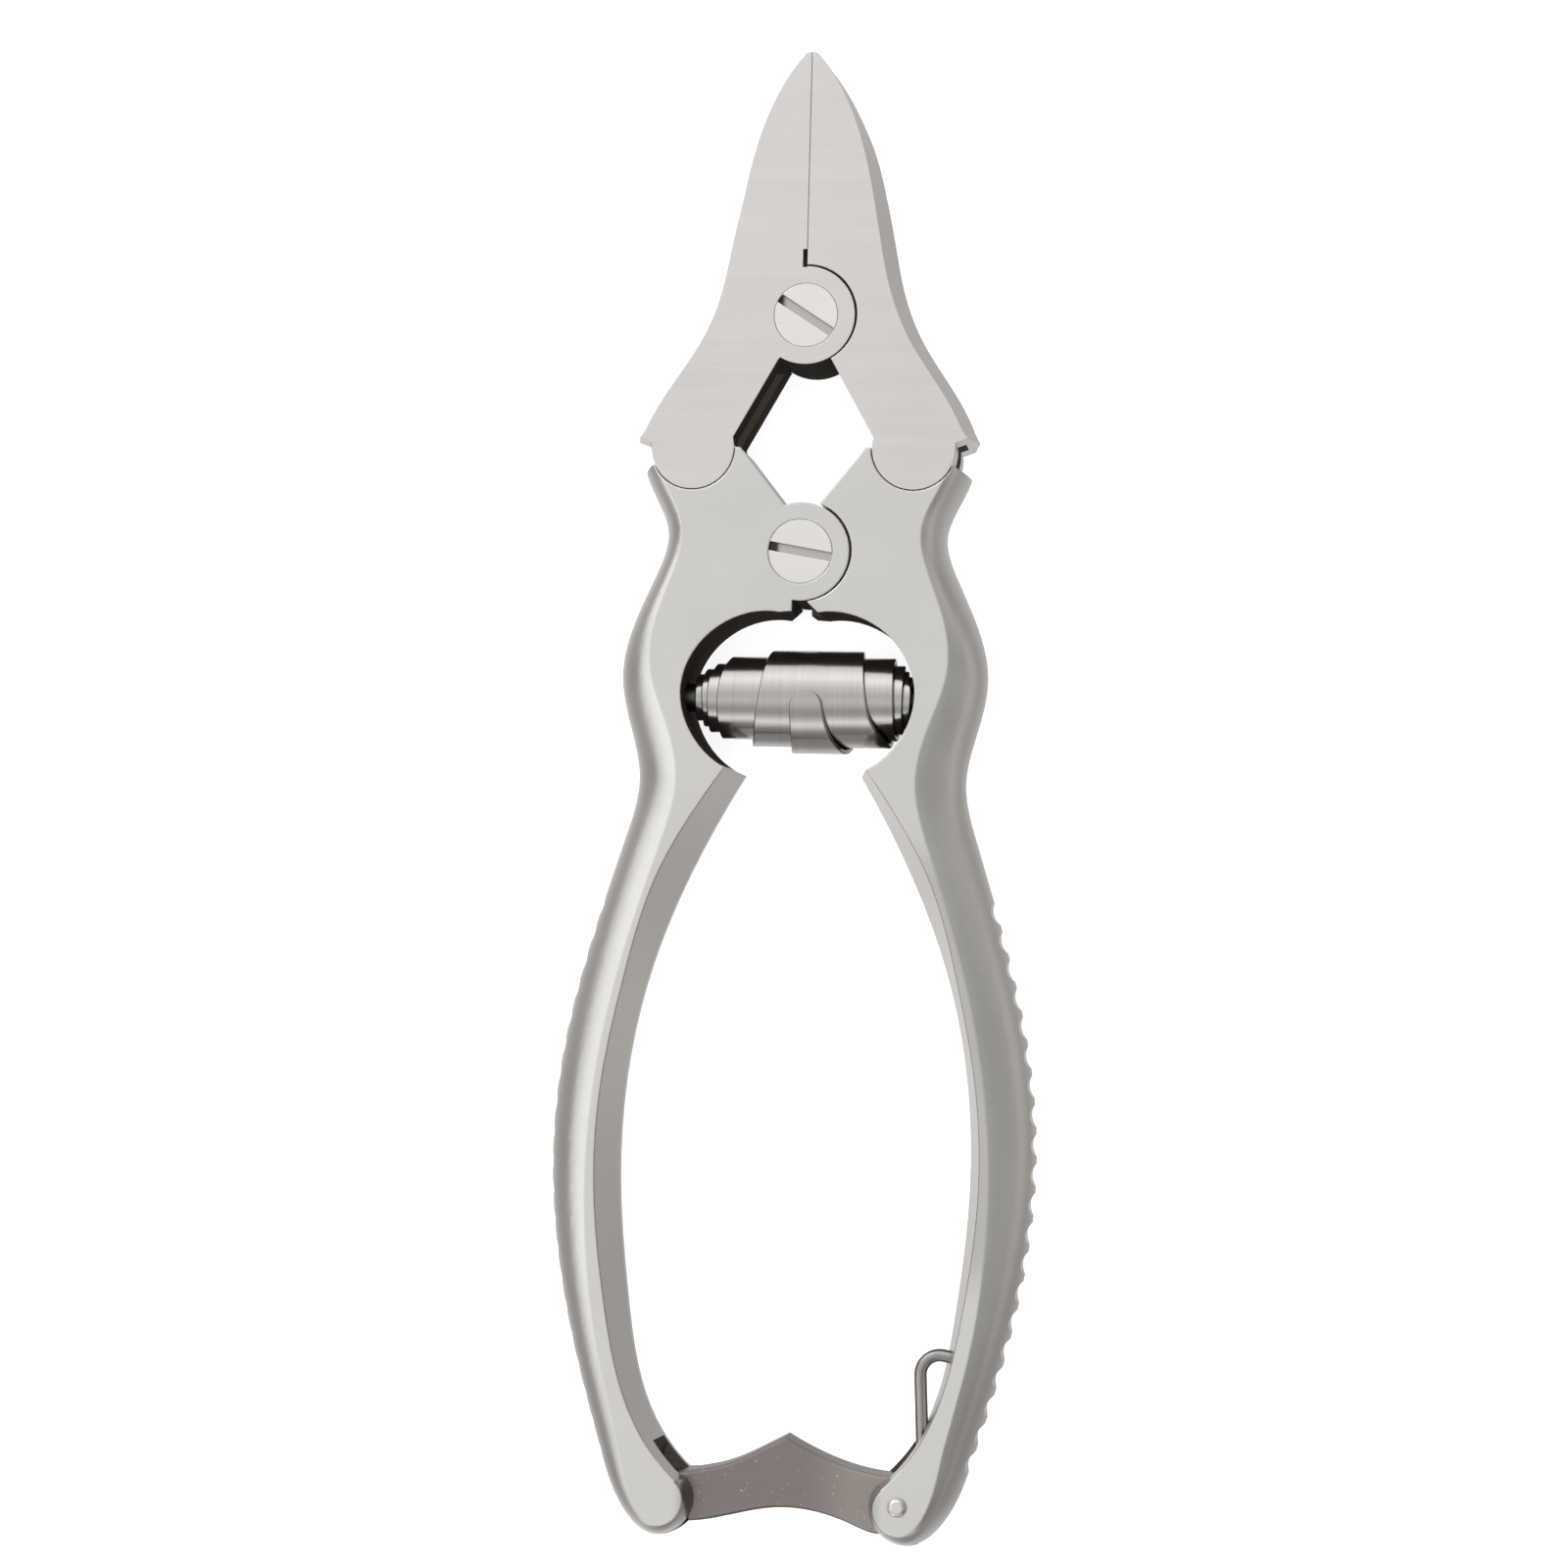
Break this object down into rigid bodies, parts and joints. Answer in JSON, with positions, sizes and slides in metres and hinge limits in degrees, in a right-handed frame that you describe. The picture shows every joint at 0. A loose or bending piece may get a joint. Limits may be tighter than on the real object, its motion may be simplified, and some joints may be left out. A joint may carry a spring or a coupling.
{
  "type": "double-action nail and hoof nipper",
  "caption": "Double-action steel nipper with pointed jaws, lap-jointed compound levers, a barrel spring between the handles and a swinging clasp across their ends.",
  "frame": {"origin": "on the back face, on the axis of the handle pivot; the tool lies on its back, closed and locked", "axes": "+X to the tool's right seen from the front, +Y from the handle ends towards the jaw tips, +Z out of the front face"},
  "size_m": [0.0508, 0.1541, 0.0111],
  "materials": {
    "jaw_steel": "fine straight-line brushing across the head",
    "handle_steel": "satin, smoother on the grips",
    "screw_steel": "ground flush, slightly brighter",
    "pin_steel": "ground flush",
    "rivet_steel": "polished dome",
    "clasp_steel": "darker satin, lightly pitted",
    "wire_steel": "bright drawn wire",
    "spring_steel": "brushed round the roll, polished"
  },
  "bodies": {
    "handle_left": {"handle_left": "handle_steel", "spring_post_left": "pin_steel", "catch_pin": "pin_steel", "barrel_spring": "spring_steel"},
    "handle_right": {"handle_right": "handle_steel", "handle_screw": "screw_steel", "spring_post_right": "pin_steel", "clasp_pin": "rivet_steel", "lock_spring": "wire_steel"},
    "jaw_left": {"jaw_left": "jaw_steel", "knuckle_pin_left": "pin_steel"},
    "jaw_right": {"jaw_right": "jaw_steel", "knuckle_pin_right": "pin_steel", "jaw_screw": "screw_steel"},
    "clasp": {"clasp_bar": "clasp_steel"}
  },
  "joints": [
    {"name": "handle_spread", "type": "hinge", "parent": "handle_left", "child": "handle_right", "pos_m": [0, 0, 0.005], "axis": [0, 0, 1], "range_deg": [0, 28], "deforming": ["barrel_spring"]},
    {"name": "jaw_left_turn", "type": "hinge", "parent": "handle_left", "child": "jaw_left", "pos_m": [-0.01152, 0.01079, 0.005], "axis": [0, 0, 1], "range_deg": [0, 25.4]},
    {"name": "jaw_right_turn", "type": "hinge", "parent": "handle_right", "child": "jaw_right", "pos_m": [0.01152, 0.01079, 0.005], "axis": [0, 0, -1], "range_deg": [0, 25.4]},
    {"name": "clasp_swing", "type": "hinge", "parent": "handle_right", "child": "clasp", "pos_m": [0.0123, -0.0973, 0.005], "axis": [0, 0, -1], "range_deg": [0, 58]}
  ],
  "couplings": [
    {"joint": "jaw_left_turn", "follows": "handle_spread", "ratio": 0.905},
    {"joint": "jaw_right_turn", "follows": "handle_spread", "ratio": 0.905}
  ]
}
